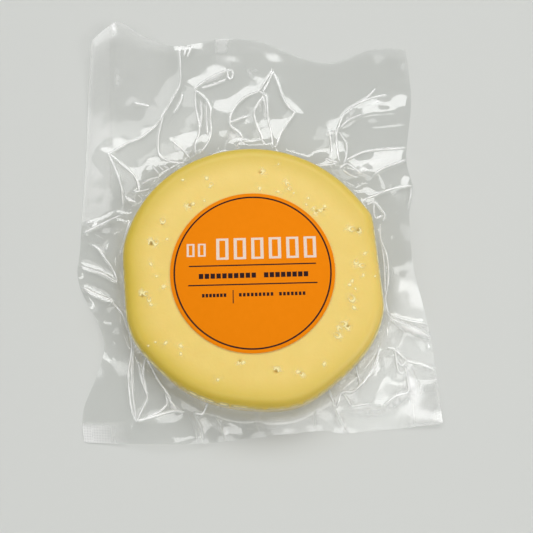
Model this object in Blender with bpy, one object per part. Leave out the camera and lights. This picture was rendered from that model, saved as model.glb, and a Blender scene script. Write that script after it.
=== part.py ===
"""Cheese disc, vacuum packed in a clear pouch with a round label on its face.

The pack lies flat on its back. The origin is the centre of the cheese's underside, X runs
across the pouch, Y along it towards the end that the vacuum machine sealed, and Z is up.
Lengths are written in millimetres and scaled to metres where the meshes are made.
"""
import math

import bmesh
import bpy

MM = 0.001

# Cheese: a disc with soft edges, pressed out of round by the pouch.
CHEESE_RADIUS = 57.3
CHEESE_HEIGHT = 17.0
TOP_ROUND = 6.0
BOTTOM_ROUND = 3.5
CROWN = 0.5            # fall of the top face from the label's bed to the rounding
BED_MARGIN = 1.5       # how far the flat bed reaches past the label
CHEESE_SEGMENTS = 84
ARC_STEPS = 4
# Each bulge of the outline: direction in degrees, radial height, half width in degrees.
OUTLINE_BULGES = (
    (20, 1.6, 9),
    (60, -0.4, 30),
    (135, 0.8, 24),
    (210, 0.8, 8),
    (250, 0.6, 20),
    (288, 2.8, 17),
    (328, 2.0, 20),
)
# Each flattened side of the outline: direction in degrees and distance from the centre.
OUTLINE_FLATS = (
    (4, 54.6),
    (184, 55.4),
)
FLAT_BLEND = 0.35      # softness of the corners beside a flattened side

# Label: a round paper sticker on the outside of the front film.
LABEL_RADIUS = 35.0
LABEL_THICKNESS = 0.3
LABEL_CENTRE = (0.15, -0.9)
LABEL_SEGMENTS = 96

# Pouch: front film drawn down round the cheese, and the two films together round it.
GAP = 0.3              # clearance between neighbouring solids
FILM = 0.4             # wall over the cheese
SKIRT = 1.0            # thickness of the flat part, wrinkles flattened
TENT_WIDTH = 7.0       # how far out from the cheese the film meets the table
TENT_TOP = 9.5         # height at which the film leaves the side of the cheese
TENT_STEPS = 3
SKIRT_STEPS = 8
UNDER_STEPS = (8, 5, 2)    # steps of the skirt that the underside has too
EDGE_STEP = 4.7        # spacing of the points along the pouch's edge
FOLD_HALF_WIDTH = 3.6

# The pouch's edge: points that each wavy side runs through, anticlockwise.
EDGE_SIDES = (
    ((-73, -69), (-50, -70.5), (-25, -71), (0, -69), (28, -66.8), (39, -68.2), (79, -65.3)),
    ((79, -65.3), (77.5, -38), (75.5, -20), (71, 5), (71, 28), (73.5, 41), (71.5, 56),
     (75.5, 84), (74, 109)),
    ((74, 109), (58, 110), (37, 104), (20, 110), (5, 117), (-13, 118.5), (-34, 114.5),
     (-48, 118.5), (-59.5, 125.5), (-65, 124), (-73.5, 116.5)),
    ((-73.5, 116.5), (-75, 90), (-75.5, 60), (-77, 18), (-77, 0), (-65, -28), (-73.5, -55),
     (-73, -69)),
)
# Where the edge stands off the table: place, height and reach.
EDGE_LIFTS = (
    ((-66, 126), 8.0, 30),
    ((-65, -28), 3.0, 14),
    ((-38, -71), 3.0, 18),
    ((72, 12), 2.0, 16),
    ((36, 104), 2.0, 16),
    ((74, 109), 3.0, 18),
    ((79, -65), 1.5, 14),
)
# Standing folds of the film: the line that each crest follows and its height.
FOLDS = (
    (((-33, 114), (-41, 80), (-65, 61)), 2.6),
    (((-65, 61), (-58, 36)), 2.6),
    (((-25, 93), (-24, 66)), 2.8),
    (((-9, 101), (-25, 93), (-18, 80), (-19, 66)), 2.4),
    (((11, 100), (5, 90), (10, 66)), 2.8),
    (((11, 100), (20, 79), (14, 68)), 2.6),
    (((5, 90), (-9, 75), (-4, 68)), 2.2),
    (((40, 55), (41, 71), (50, 82), (73, 87)), 3.0),
    (((42, 52), (71, 57)), 2.6),
    (((56, 34), (72, 41)), 2.2),
    (((59, -18), (76, -27)), 2.8),
    (((52, -37), (60, -32), (64, -50), (44, -50)), 2.6),
    (((34, -57), (39, -68)), 2.0),
    (((-26, -60), (-22, -70)), 2.0),
    (((-54, -28), (-55, -42), (-51, -61), (-35, -58)), 2.6),
    (((-61, -9), (-76, -2)), 2.4),
    (((-61, 0), (-76, 8)), 2.2),
    (((-60, 31), (-74, 24)), 2.4),
)

CHEESE_COLOUR = (0.82, 0.62, 0.21)
FILM_COLOUR = (0.80, 0.81, 0.79)
LABEL_COLOUR = (0.83, 0.22, 0.004)


def clear_scene():
    for obj in list(bpy.data.objects):
        bpy.data.objects.remove(obj, do_unlink=True)


def make_material(name, colour, roughness):
    """Principled material of one colour."""
    material = bpy.data.materials.new(name)
    material.use_nodes = True
    shader = material.node_tree.nodes["Principled BSDF"]
    shader.inputs["Base Color"].default_value = (*colour, 1.0)
    shader.inputs["Roughness"].default_value = roughness
    shader.inputs["Metallic"].default_value = 0.0
    return material


def make_object(name, mesh_data, material, smooth_angle):
    """Object from a bmesh, shaded smooth except across edges sharper than smooth_angle."""
    bmesh.ops.recalc_face_normals(mesh_data, faces=mesh_data.faces)
    mesh = bpy.data.meshes.new(name)
    mesh_data.to_mesh(mesh)
    mesh_data.free()
    mesh.shade_smooth()
    mesh.set_sharp_from_angle(angle=math.radians(smooth_angle))
    mesh.materials.append(material)
    obj = bpy.data.objects.new(name, mesh)
    bpy.context.collection.objects.link(obj)
    return obj


def loft(rings, first_pole, last_pole):
    """Closed body through rings of points in order, each end closed to its pole."""
    body = bmesh.new()
    rows = [[body.verts.new(metres(point)) for point in ring] for ring in rings]
    count = len(rows[0])
    for lower, upper in zip(rows, rows[1:]):
        for i in range(count):
            j = (i + 1) % count
            body.faces.new((lower[i], lower[j], upper[j], upper[i]))
    for row, pole in ((rows[0], first_pole), (rows[-1], last_pole)):
        centre = body.verts.new(metres(pole))
        for i in range(count):
            body.faces.new((row[i], row[(i + 1) % count], centre))
    return body


def metres(point):
    """Point in metres from one in millimetres."""
    return [value * MM for value in point]


def cheese_radius(angle):
    """Radius of the cheese's outline in a direction given in radians."""
    radius = CHEESE_RADIUS
    for direction, height, half_width in OUTLINE_BULGES:
        turn = (math.degrees(angle) - direction + 180) % 360 - 180
        radius += height * math.exp(-((turn / half_width) ** 2))
    for direction, distance in OUTLINE_FLATS:
        facing = math.cos(angle - math.radians(direction))
        if facing > 0:
            excess = (distance / facing - radius) / FLAT_BLEND
            radius -= FLAT_BLEND * math.log1p(math.exp(-excess))
    return radius


def upper_profile(offset):
    """Inset from the outline and height, from the widest point over the rounding to the top.

    The line lies an offset outside the cheese's own surface.
    """
    shoulder = CHEESE_HEIGHT - CROWN - TOP_ROUND
    points = []
    for step in range(ARC_STEPS + 1):
        turn = math.radians(90) * step / ARC_STEPS
        inset = TOP_ROUND - (TOP_ROUND + offset) * math.cos(turn)
        points.append((inset, shoulder + (TOP_ROUND + offset) * math.sin(turn)))
    return points


def label_bed(offset):
    """Radius and height of the flat bed that the label lies on, an offset above the cheese."""
    return LABEL_RADIUS + BED_MARGIN, CHEESE_HEIGHT + offset


def cheese_ring(angles, inset, height):
    points = []
    for angle in angles:
        radius = cheese_radius(angle) - inset
        points.append((radius * math.cos(angle), radius * math.sin(angle), height))
    return points


def round_ring(angles, radius, height):
    return [(radius * math.cos(angle), radius * math.sin(angle), height) for angle in angles]


def make_cheese():
    """The disc: flat underside, soft lower edge, rounded upper edge and a slight crown."""
    angles = [2 * math.pi * i / CHEESE_SEGMENTS for i in range(CHEESE_SEGMENTS)]
    rings = [round_ring(angles, LABEL_RADIUS, 0.0)]
    for step in range(ARC_STEPS + 1):
        turn = math.radians(90) * step / ARC_STEPS
        inset = BOTTOM_ROUND * (1 - math.sin(turn))
        rings.append(cheese_ring(angles, inset, BOTTOM_ROUND * (1 - math.cos(turn))))
    for inset, height in upper_profile(0.0):
        rings.append(cheese_ring(angles, inset, height))
    bed_radius, bed_height = label_bed(0.0)
    rings.append(round_ring(angles, bed_radius, bed_height))
    body = loft(rings, (0, 0, 0), (0, 0, CHEESE_HEIGHT))
    return make_object("cheese", body, make_material("cheese", CHEESE_COLOUR, 0.4), 40)


def smooth_line(points, step):
    """Points about a step apart on a smooth curve through the given ones, the last left out."""
    line = []
    for i in range(len(points) - 1):
        before = points[max(i - 1, 0)]
        start, end = points[i], points[i + 1]
        after = points[min(i + 2, len(points) - 1)]
        count = max(2, round(math.dist(start, end) / step))
        for k in range(count):
            t = k / count
            line.append(tuple(
                0.5 * (2 * b + (c - a) * t + (2 * a - 5 * b + 4 * c - d) * t * t
                       + (3 * b - a - 3 * c + d) * t ** 3)
                for a, b, c, d in zip(before, start, end, after)))
    return line


def pouch_edge():
    """The pouch's edge all round, anticlockwise."""
    edge = []
    for side in EDGE_SIDES:
        edge.extend(smooth_line(side, EDGE_STEP))
    return edge


def segment_distance(point, start, end):
    """Distance from a point to a straight segment."""
    run = (end[0] - start[0], end[1] - start[1])
    reach = ((point[0] - start[0]) * run[0] + (point[1] - start[1]) * run[1])
    along = min(1.0, max(0.0, reach / (run[0] ** 2 + run[1] ** 2)))
    return math.dist(point, (start[0] + run[0] * along, start[1] + run[1] * along))


def lift(x, y):
    """Height of the two films above the table."""
    return sum(height * math.exp(-(math.dist((x, y), place) / reach) ** 2)
               for place, height, reach in EDGE_LIFTS)


def fold(x, y):
    """Height of the standing folds above the flat film."""
    height = 0.0
    for line, crest in FOLDS:
        near = min(segment_distance((x, y), a, b) for a, b in zip(line, line[1:]))
        height = max(height, crest * math.exp(-(near / FOLD_HALF_WIDTH) ** 2))
    return height


def pouch_rings(edge):
    """Rings of the pouch from the top of its pocket, out over the skirt and back underneath."""
    angles = [math.atan2(y, x) for x, y in edge]
    rims = [cheese_radius(angle) for angle in angles]
    rings = [round_ring(angles, *label_bed(GAP + FILM))]
    for inset, height in reversed(upper_profile(GAP + FILM)):
        rings.append(cheese_ring(angles, inset, height))
    for step in range(1, TENT_STEPS + 1):
        ring = []
        t = step / TENT_STEPS
        for angle, rim in zip(angles, rims):
            radius = rim + GAP + FILM + TENT_WIDTH * t
            x, y = radius * math.cos(angle), radius * math.sin(angle)
            shape = (1 - t) ** 1.5
            ring.append((x, y, SKIRT + (TENT_TOP - SKIRT) * shape + fold(x, y) * t))
        rings.append(ring)
    under = []
    for step in range(1, SKIRT_STEPS + 1):
        top_ring, low_ring = [], []
        t = step / SKIRT_STEPS
        for (edge_x, edge_y), angle, rim in zip(edge, angles, rims):
            start = rim + GAP + FILM + TENT_WIDTH
            radius = start + (math.hypot(edge_x, edge_y) - start) * t
            x, y = radius * math.cos(angle), radius * math.sin(angle)
            raised = lift(x, y) * t
            top_ring.append((x, y, SKIRT + raised + fold(x, y)))
            low_ring.append((x, y, raised))
        rings.append(top_ring)
        if step in UNDER_STEPS:
            under.append(low_ring)
    rings.extend(reversed(under))
    rings.append([rim_point(angle, rim) for angle, rim in zip(angles, rims)])
    for inset, height in upper_profile(GAP):
        rings.append(cheese_ring(angles, inset, height))
    rings.append(round_ring(angles, *label_bed(GAP)))
    return rings


def rim_point(angle, rim):
    """Foot of the pocket's wall on the table, a gap outside the cheese."""
    return (rim + GAP) * math.cos(angle), (rim + GAP) * math.sin(angle), 0.0


def make_pouch():
    """One hat-shaped body: the pocket over the cheese, the tent round it and the skirt."""
    rings = pouch_rings(pouch_edge())
    body = loft(rings, (0, 0, CHEESE_HEIGHT + GAP + FILM), (0, 0, CHEESE_HEIGHT + GAP))
    return make_object("pouch", body, make_material("clear_film", FILM_COLOUR, 0.15), 60)


def make_label():
    """Round sticker lying on the film over the middle of the cheese."""
    base = CHEESE_HEIGHT + GAP + FILM + GAP
    body = bmesh.new()
    made = bmesh.ops.create_circle(
        body, cap_ends=True, radius=LABEL_RADIUS * MM, segments=LABEL_SEGMENTS)
    bmesh.ops.translate(body, verts=made["verts"], vec=metres((*LABEL_CENTRE, base)))
    grown = bmesh.ops.extrude_face_region(body, geom=list(body.faces))
    raised = [item for item in grown["geom"] if isinstance(item, bmesh.types.BMVert)]
    bmesh.ops.translate(body, verts=raised, vec=metres((0, 0, LABEL_THICKNESS)))
    return make_object("label", body, make_material("label_paper", LABEL_COLOUR, 0.5), 40)


def main():
    clear_scene()
    make_cheese()
    make_pouch()
    make_label()


main()
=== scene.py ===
import math

import bmesh
import bpy
import numpy as np
from mathutils import Matrix, Quaternion, Vector, noise
from mathutils.geometry import delaunay_2d_cdt


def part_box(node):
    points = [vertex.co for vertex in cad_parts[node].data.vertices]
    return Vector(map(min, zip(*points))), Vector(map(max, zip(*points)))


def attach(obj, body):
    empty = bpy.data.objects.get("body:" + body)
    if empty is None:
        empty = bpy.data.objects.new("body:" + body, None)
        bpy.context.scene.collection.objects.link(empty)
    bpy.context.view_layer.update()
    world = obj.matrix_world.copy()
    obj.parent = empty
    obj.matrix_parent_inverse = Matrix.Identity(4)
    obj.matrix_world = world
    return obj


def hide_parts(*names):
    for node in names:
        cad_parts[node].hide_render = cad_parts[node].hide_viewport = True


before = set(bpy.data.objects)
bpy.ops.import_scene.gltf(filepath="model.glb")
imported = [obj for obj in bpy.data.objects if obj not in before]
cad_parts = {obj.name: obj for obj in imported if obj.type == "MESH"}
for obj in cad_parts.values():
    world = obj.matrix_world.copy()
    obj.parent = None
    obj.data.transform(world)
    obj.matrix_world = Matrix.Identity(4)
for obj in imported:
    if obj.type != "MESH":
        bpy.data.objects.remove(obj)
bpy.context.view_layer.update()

# Plans and heights are in millimetres and become metres where a mesh is made.
mm = 0.001
labelLow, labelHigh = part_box("label")
labelSpot = [(labelLow.x + labelHigh.x) / 2 / mm, (labelLow.y + labelHigh.y) / 2 / mm]
labelSize = (labelHigh.x - labelLow.x) / 2 / mm

room = {
    "cameraPlace": (0.0061, -0.0991, 0.3922),
    "cameraTarget": (0.0061, 0.0060, 0.0),
    "cameraRoll": -1.5,
    "cameraLens": 61.63,
    "floorColour": (0.640, 0.648, 0.620),
    "floorSize": 3.0,
    "skyColour": (0.86, 0.88, 0.90),
    "skyStrength": 0.30,
}

# name, turn from +X and height in degrees, distance, width and height, strength as seen
lamps = [
    ("northWindow", 88, 45, 2.0, (2.20, 0.70), 4.4),
    ("eastCeiling", 39, 79.5, 1.6, (0.46, 0.24), 3.0),
    ("westCeiling", 118, 60, 2.0, (0.60, 0.40), 1.5),
    ("nearCeiling", 272, 64, 0.9, (0.83, 0.41), 1.6),
    ("westWindow", 192, 38, 2.0, (0.80, 0.40), 4.0),
    ("eastWindow", -24, 38, 2.0, (0.90, 0.50), 6.5),
]


def makeCamera():
    data = bpy.data.cameras.new("camera")
    data.lens = room["cameraLens"]
    data.sensor_width = 36.0
    data.clip_start = 0.01
    camera = bpy.data.objects.new("camera", data)
    bpy.context.scene.collection.objects.link(camera)
    aim = Vector(room["cameraTarget"]) - Vector(room["cameraPlace"])
    roll = Quaternion((0, 0, 1), math.radians(room["cameraRoll"]))
    camera.location = room["cameraPlace"]
    camera.rotation_mode = "QUATERNION"
    camera.rotation_quaternion = aim.to_track_quat("-Z", "Y") @ roll
    bpy.context.scene.camera = camera


def makeLamp(name, turn, height, distance, size, strength):
    # an area lamp of radiance L gives off L * pi * area watts
    data = bpy.data.lights.new(name, "AREA")
    data.shape = "RECTANGLE"
    data.size, data.size_y = size
    data.energy = strength * math.pi * size[0] * size[1]
    lamp = bpy.data.objects.new(name, data)
    bpy.context.scene.collection.objects.link(lamp)
    turn, height = math.radians(turn), math.radians(height)
    away = Vector((math.cos(turn) * math.cos(height), math.sin(turn) * math.cos(height),
                   math.sin(height)))
    lamp.location = away * distance
    lamp.rotation_mode = "QUATERNION"
    # its width runs level, and along X right overhead
    wide = Vector((0, 1, 0) if away.z > 0.95 else (0, 0, 1)).cross(away).normalized()
    lamp.rotation_quaternion = Matrix((wide, away.cross(wide), away)).transposed().to_quaternion()


def makeSky():
    world = bpy.data.worlds.new("sky")
    bpy.context.scene.world = world
    world.use_nodes = True
    back = world.node_tree.nodes["Background"]
    back.inputs["Color"].default_value = (*room["skyColour"], 1)
    back.inputs["Strength"].default_value = room["skyStrength"]


def makeFloor():
    bpy.ops.object.select_all(action="DESELECT")
    bpy.ops.mesh.primitive_plane_add(size=room["floorSize"], location=(0, 0, 0))
    floor = bpy.context.object
    floor.name = "floor"
    paint = bpy.data.materials.new("paleTable")
    paint.use_nodes = True
    shader = paint.node_tree.nodes["Principled BSDF"]
    shader.inputs["Base Color"].default_value = (*room["floorColour"], 1)
    shader.inputs["Roughness"].default_value = 0.7
    shader.inputs["Specular IOR Level"].default_value = 0.1
    floor.data.materials.append(paint)


makeCamera()
for lamp in lamps:
    makeLamp(*lamp)
makeSky()
makeFloor()
bpy.context.scene.view_settings.view_transform = "Standard"
print("room: camera, floor and", len(lamps), "lamps")

cheese = {
    "radius": 57.3,
    "base": 0.35,                         # underside, on the back film
    "top": labelLow.z / mm - 0.4,
    "topRound": 6.2,
    "lowRound": 3.5,
    "crown": 0.5,                         # fall of the face from the label's bed to the rounding
    "bed": labelSize + 2.0,
    "bulges": [(20, 1.6, 9), (60, -0.4, 30), (135, 0.8, 24), (210, 0.8, 8), (250, 0.6, 20),
               (288, 2.8, 17), (328, 2.0, 20)],    # direction, height and half width
    "flats": [(4, 54.6), (184, 55.4)],             # direction and distance
    "flatBlend": 0.5,
    # the rim's darker, more olive colour: partly the rind's own colour, partly painted shade, weak on
    # the right where the light falls
    "edgeTone": [(0, 0.05), (25, 0.5), (50, 0.8), (120, 0.95), (180, 1.0), (230, 1.0),
                 (275, 0.85), (300, 0.65), (335, 0.25), (360, 0.05)],   # direction and strength
    "edgeWide": 14.0,
    "rimPoints": 320,
    "grid": 1.25,
    "pitDepth": 0.8,
    "waveTall": 0.10,
    "grainTall": 0.035,
}

# Eyes and blisters of the face: x, y, radius and kind. The film dips into a hole, stands up
# on a bead and makes a small loop round a ring.
eyes = [
    (-29.5, 41.5, 0.6, "bead"), (-19, 42, 0.8, "bead"), (-17, 39, 0.7, "ring"),
    (4.5, 44, 0.7, "hole"), (4, 36.3, 0.7, "bead"), (12.5, 47.5, 0.4, "bead"),
    (16.3, 38, 0.8, "ring"), (17.3, 36, 0.7, "ring"), (18.8, 34, 0.5, "bead"),
    (12, 34.8, 0.6, "bead"), (25, 31.5, 0.6, "bead"), (24, 28.5, 0.6, "bead"),
    (26.6, 26.2, 0.6, "ring"), (29.8, 25.6, 0.8, "bead"), (32, 27.6, 0.7, "bead"),
    (28.3, 25.4, 0.6, "hole"), (31.4, 26.0, 0.5, "hole"), (-26.5, 29.5, 0.7, "hole"),
    (-25, 30.2, 0.8, "bead"), (-20, 31.6, 0.5, "bead"), (-38, 23.2, 1.0, "ring"),
    (-38.6, 21.4, 0.5, "hole"), (-43, 13, 0.9, "hole"), (-41, 13.4, 1.0, "ring"),
    (-36.3, 14.6, 0.6, "bead"), (-43, 3.6, 0.8, "bead"), (-40.5, -1.7, 0.6, "bead"),
    (-37.5, -6.5, 0.9, "bead"), (-46.7, -9.8, 0.7, "hole"), (-45, -9.2, 0.9, "ring"),
    (-43.8, -11.4, 0.8, "ring"), (-43, -13.9, 0.7, "bead"), (-36.7, -30.4, 0.8, "bead"),
    (-30.4, -31.9, 0.9, "bead"), (-30.4, -35.2, 0.6, "bead"), (-41, -30, 0.5, "bead"),
    (-44, -31.4, 0.5, "bead"), (43.4, 17, 1.1, "ring"), (45.8, 16.5, 0.8, "hole"),
    (48.2, 6, 0.8, "bead"), (44.4, 2.6, 0.9, "ring"), (46.8, 0.7, 0.9, "ring"),
    (47, -3.6, 0.7, "bead"), (52, -4, 0.5, "bead"), (42.2, -6, 0.7, "bead"),
    (41, -7.6, 0.7, "bead"), (43.4, -9.4, 0.5, "bead"), (41.5, -13.4, 1.2, "ring"),
    (42.4, -17.5, 0.8, "bead"), (37.4, -24.4, 1.1, "ring"), (36, -26.8, 0.9, "ring"),
    (34.8, -29, 1.1, "ring"), (39.3, -25.2, 0.8, "hole"), (29, -41, 0.9, "bead"),
    (18, -44, 0.9, "bead"), (19, -44.6, 0.5, "hole"), (8.9, -43.4, 0.8, "hole"),
    (-4.5, -39.6, 0.8, "bead"), (-6, -39, 0.6, "hole"), (-15.1, -46.3, 0.6, "bead"),
]


def rimAt(angle):
    # radius of the cheese's outline in each direction
    radius = np.full_like(angle, cheese["radius"])
    for direction, height, halfWidth in cheese["bulges"]:
        turn = (np.degrees(angle) - direction + 180) % 360 - 180
        radius += height * np.exp(-((turn / halfWidth) ** 2))
    blend = cheese["flatBlend"]
    for direction, distance in cheese["flats"]:
        facing = np.cos(angle - math.radians(direction))
        chord = distance / np.maximum(facing, 0.2)
        cut = radius - blend * np.log1p(np.exp(np.minimum((radius - chord) / blend, 60)))
        radius = np.where(facing > 0.2, cut, radius)
    return radius


def beyondRim(x, y):
    # distance outside the cheese's outline, measured along the radius
    return np.hypot(x, y) - rimAt(np.arctan2(y, x))


def faceHeight(x, y, out, clear=0.0):
    # height of the cheese's face and rounded edge, with an even clearance over it
    roundness = cheese["topRound"]
    start = cheese["bed"]
    fall = np.clip((np.hypot(x, y) - start) / (cheese["radius"] - roundness - start), 0, 1)
    level = cheese["top"] - cheese["crown"] * fall * fall * (3 - 2 * fall)
    into = np.clip((out + roundness) / (roundness + clear), 0, 1)
    return level - roundness + (roundness + clear) * np.sqrt(1 - into ** 2.5)


def ragged(x, y):
    # eyes and blisters aren't quite round
    return x + 0.35 * steadyNoise(x, y, 1.1, 31.0), y + 0.35 * steadyNoise(x, y, 1.1, 47.0)


def eyeRelief(x, y, kinds):
    relief = np.zeros_like(x)
    x, y = ragged(x, y)
    for eyeX, eyeY, radius, kind in eyes:
        if kind not in kinds:
            continue
        reach = np.hypot(x - eyeX, y - eyeY) / radius
        if kind == "ring":
            relief += kinds[kind] * radius * np.exp(-(((reach - 1) / 0.45) ** 2))
        else:
            relief += kinds[kind] * radius * np.exp(-reach ** 2)
    return relief


def steadyNoise(x, y, size, seed):
    # smooth noise between about -1 and 1
    return np.array([noise.noise(Vector((a / size, b / size, seed))) for a, b in zip(x, y)])


def smoothLine(points, step):
    # points about a step apart on a smooth curve through the given ones
    line = []
    for i in range(len(points) - 1):
        a, b, c, d = (np.array(points[j], float) for j in
                      (max(i - 1, 0), i, i + 1, min(i + 2, len(points) - 1)))
        count = max(1, round(math.dist(b[:2], c[:2]) / step))
        for k in range(count):
            t = k / count
            line.append(0.5 * (2 * b + (c - a) * t + (2 * a - 5 * b + 4 * c - d) * t * t
                               + (3 * b - a - 3 * c + d) * t ** 3))
    line.append(np.array(points[-1], float))
    return np.array(line)


def thinned(points, cell, kept=None):
    # one point for each square cell, none where points kept already lie in or beside it
    keys = np.floor(points / cell).astype(int)
    first = np.sort(np.unique(keys, axis=0, return_index=True)[1])
    points, keys = points[first], keys[first]
    if kept is None:
        return points
    taken = set()
    for cx, cy in np.unique(np.floor(kept / cell).astype(int), axis=0):
        for dx in (-1, 0, 1):
            for dy in (-1, 0, 1):
                taken.add((cx + dx, cy + dy))
    free = [i for i, key in enumerate(map(tuple, keys)) if key not in taken]
    return points[free]


def inside(points, loop):
    # which points lie inside a closed loop
    result = np.zeros(len(points), bool)
    x, y = points[:, 0], points[:, 1]
    for (x1, y1), (x2, y2) in zip(loop, np.roll(loop, -1, axis=0)):
        if y1 != y2:
            crosses = (y1 > y) != (y2 > y)
            result ^= crosses & (x < (x2 - x1) * (y - y1) / (y2 - y1) + x1)
    return result


def netInside(loop, points):
    # triangles over the points and out to the loop
    everything = [Vector(p) for p in np.concatenate([loop, points])]
    count = len(loop)
    border = [(i, (i + 1) % count) for i in range(count)]
    places, _, triangles, *_ = delaunay_2d_cdt(
        everything, border, [list(range(count))], 1, 1e-4, True)
    return np.array([tuple(p) for p in places]), triangles


def eyePoints():
    spots = []
    for eyeX, eyeY, radius, kind in eyes:
        spots.append((eyeX, eyeY))
        for ring, share in enumerate((0.4, 0.7, 1.0, 1.3, 1.7)):
            count = 6 + 2 * ring
            for k in range(count):
                turn = 2 * math.pi * (k + 0.5 * (ring % 2)) / count
                spots.append((eyeX + radius * share * math.cos(turn),
                              eyeY + radius * share * math.sin(turn)))
    return thinned(np.array(spots), 0.22)


def gridPoints(low, high, step):
    # rows of points, every second row shifted by half a step
    rows = []
    y = low[1]
    odd = False
    while y < high[1]:
        x = np.arange(low[0] + (step / 2 if odd else 0), high[0], step)
        rows.append(np.column_stack([x, np.full_like(x, y)]))
        y += step * 0.866
        odd = not odd
    return np.concatenate(rows)


def finishPiece(name, mesh, angle):
    piece = bpy.data.objects.new(name, mesh)
    bpy.context.scene.collection.objects.link(piece)
    bpy.ops.object.select_all(action="DESELECT")
    piece.select_set(True)
    bpy.context.view_layer.objects.active = piece
    bpy.ops.object.shade_smooth_by_angle(angle=math.radians(angle))
    return piece



def makeCheese():
    count = cheese["rimPoints"]
    turns = np.linspace(0, 2 * math.pi, count, endpoint=False)
    rims = rimAt(turns)
    ways = np.column_stack([np.cos(turns), np.sin(turns)])
    rings = []
    for angle in range(5, 90, 9):
        inset = cheese["topRound"] * (1 - math.cos(math.radians(angle)))
        rings.append(ways * (rims - inset)[:, None])
    loop = ways * rims[:, None]
    fixed = np.concatenate(rings)
    spots = eyePoints()
    spots = spots[beyondRim(spots[:, 0], spots[:, 1]) < -1]
    grid = gridPoints((-62, -62), (62, 62), cheese["grid"])
    grid = grid[beyondRim(grid[:, 0], grid[:, 1]) < -cheese["topRound"]]
    grid = thinned(grid, 0.6, np.concatenate([spots, fixed]))
    places, triangles = netInside(loop, np.concatenate([fixed, spots, grid]))
    x, y = places[:, 0], places[:, 1]
    out = beyondRim(x, y)
    z = faceHeight(x, y, out)
    flat = np.clip((-out - 1) / 4, 0, 1)
    z += flat * cheese["waveTall"] * steadyNoise(x, y, 9.0, 3.0)
    z += flat * cheese["grainTall"] * steadyNoise(x, y, 1.7, 8.0)
    z += flat * eyeRelief(x, y, {"hole": -cheese["pitDepth"] * 1.6, "bead": 0.12, "ring": 0.1})
    body = bmesh.new()
    rows = [body.verts.new((a * mm, b * mm, c * mm)) for a, b, c in zip(x, y, z)]
    for triangle in triangles:
        body.faces.new([rows[i] for i in triangle])
    # side and underside: rings down from the widest line and in to the middle
    side = []
    shoulder = cheese["top"] - cheese["crown"] - cheese["topRound"]
    for height in np.linspace(shoulder, cheese["base"] + cheese["lowRound"], 6)[1:]:
        side.append((0.0, height))
    for angle in range(15, 91, 15):
        bend = math.radians(angle)
        side.append((cheese["lowRound"] * (1 - math.cos(bend)),
                     cheese["base"] + cheese["lowRound"] * (1 - math.sin(bend))))
    for inset in (8, 14, 22, 32, 44):
        side.append((inset, cheese["base"]))
    previous = rows[:count]
    for inset, height in side:
        ring = [body.verts.new((a * mm, b * mm, height * mm))
                for a, b in ways * (rims - inset)[:, None]]
        for i in range(count):
            j = (i + 1) % count
            body.faces.new((previous[i], ring[i], ring[j], previous[j]))
        previous = ring
    middle = body.verts.new((0, 0, cheese["base"] * mm))
    for i in range(count):
        body.faces.new((previous[i], middle, previous[(i + 1) % count]))
    bmesh.ops.recalc_face_normals(body, faces=body.faces)
    mesh = bpy.data.meshes.new("cheeseDisc")
    body.to_mesh(mesh)
    body.free()
    # the face's points come first: only they can be in a hole or away from the edge
    # painted shade and rind colour towards the rim, stronger in the directions turned away from the
    # light
    directions, strengths = zip(*cheese["edgeTone"])
    tone = np.interp(np.degrees(np.arctan2(y, x)) % 360, directions, strengths)
    nearEdge = np.clip(1 + out / cheese["edgeWide"], 0, 1)
    rindAndShades = tone * nearEdge * nearEdge * (3 - 2 * nearEdge)
    # painted shade in the eyes' pits, and a little round the rings
    pitShade = np.clip(eyeRelief(x, y, {"hole": 1.1, "ring": 0.25}), 0, 1)
    for name, values, rest in (("hole", pitShade, 0.0), ("edge", rindAndShades, 1.0)):
        spread = np.full(len(mesh.vertices), rest)
        spread[:len(x)] = values
        mesh.attributes.new(name, "FLOAT", "POINT").data.foreach_set("value", spread)
    return finishPiece("cheeseDisc", mesh, 70)


cheeseDisc = makeCheese()
print("cheese:", len(cheeseDisc.data.polygons), "faces")

film = {
    "clear": 0.15,            # film above the cheese
    "back": 0.10,             # back film above the table
    "gap": 0.22,              # front film above the back film
    "edgeGap": 0.21,
    "edgeStep": 1.0,
    "edgeInset": 0.8,
    "backInset": 3.2,
    "grid": 1.7,
    "backGrid": 4.0,
    "groundStep": 6.5,
    "groundClear": 4.2,       # how far a crest's flanks reach where no other crest is near
    "foldTall": 0.5,
    "bend": 1.1,
    "weltWide": 0.34,
    "weltTall": 0.20,
    # width of the painted highlight line along a crest
    "glintWide": 0.33,
    "tent": [(0, 3.4), (20, 4), (45, 6), (70, 5), (90, 5), (110, 6), (135, 6), (165, 7.5),
             (180, 7), (200, 5), (225, 5), (250, 5.5), (270, 4.5), (300, 5), (320, 6), (345, 4),
             (360, 3.4)],     # direction, and how far out the film meets the table
    "flare": 2.3,
    # painted highlight along the cheese's rim
    "rimGlint": [(0, 1.0), (22, 0.9), (30, 0.2), (60, 0.0), (110, 0.0), (130, 0.2), (160, 0.7),
                 (185, 0.7), (200, 0.9), (250, 0.9), (275, 0.5), (300, 0.4), (330, 0.9),
                 (360, 1.0)],       # direction and strength
    "ripple": 0.08,
    "swell": 0.15,
    "pucker": 0.12,
    "overEyes": {"hole": -0.15, "bead": 0.14, "ring": 0.10},
    "liftFrom": 3.0,          # outside the cheese, where the edge's lift begins
    "liftOver": 16.0,
    "calm": 7.0,              # inside the pouch's edge, where the ripples die out
    "hem": 2.0,               # inside the pouch's edge, where the folds do
}

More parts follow.
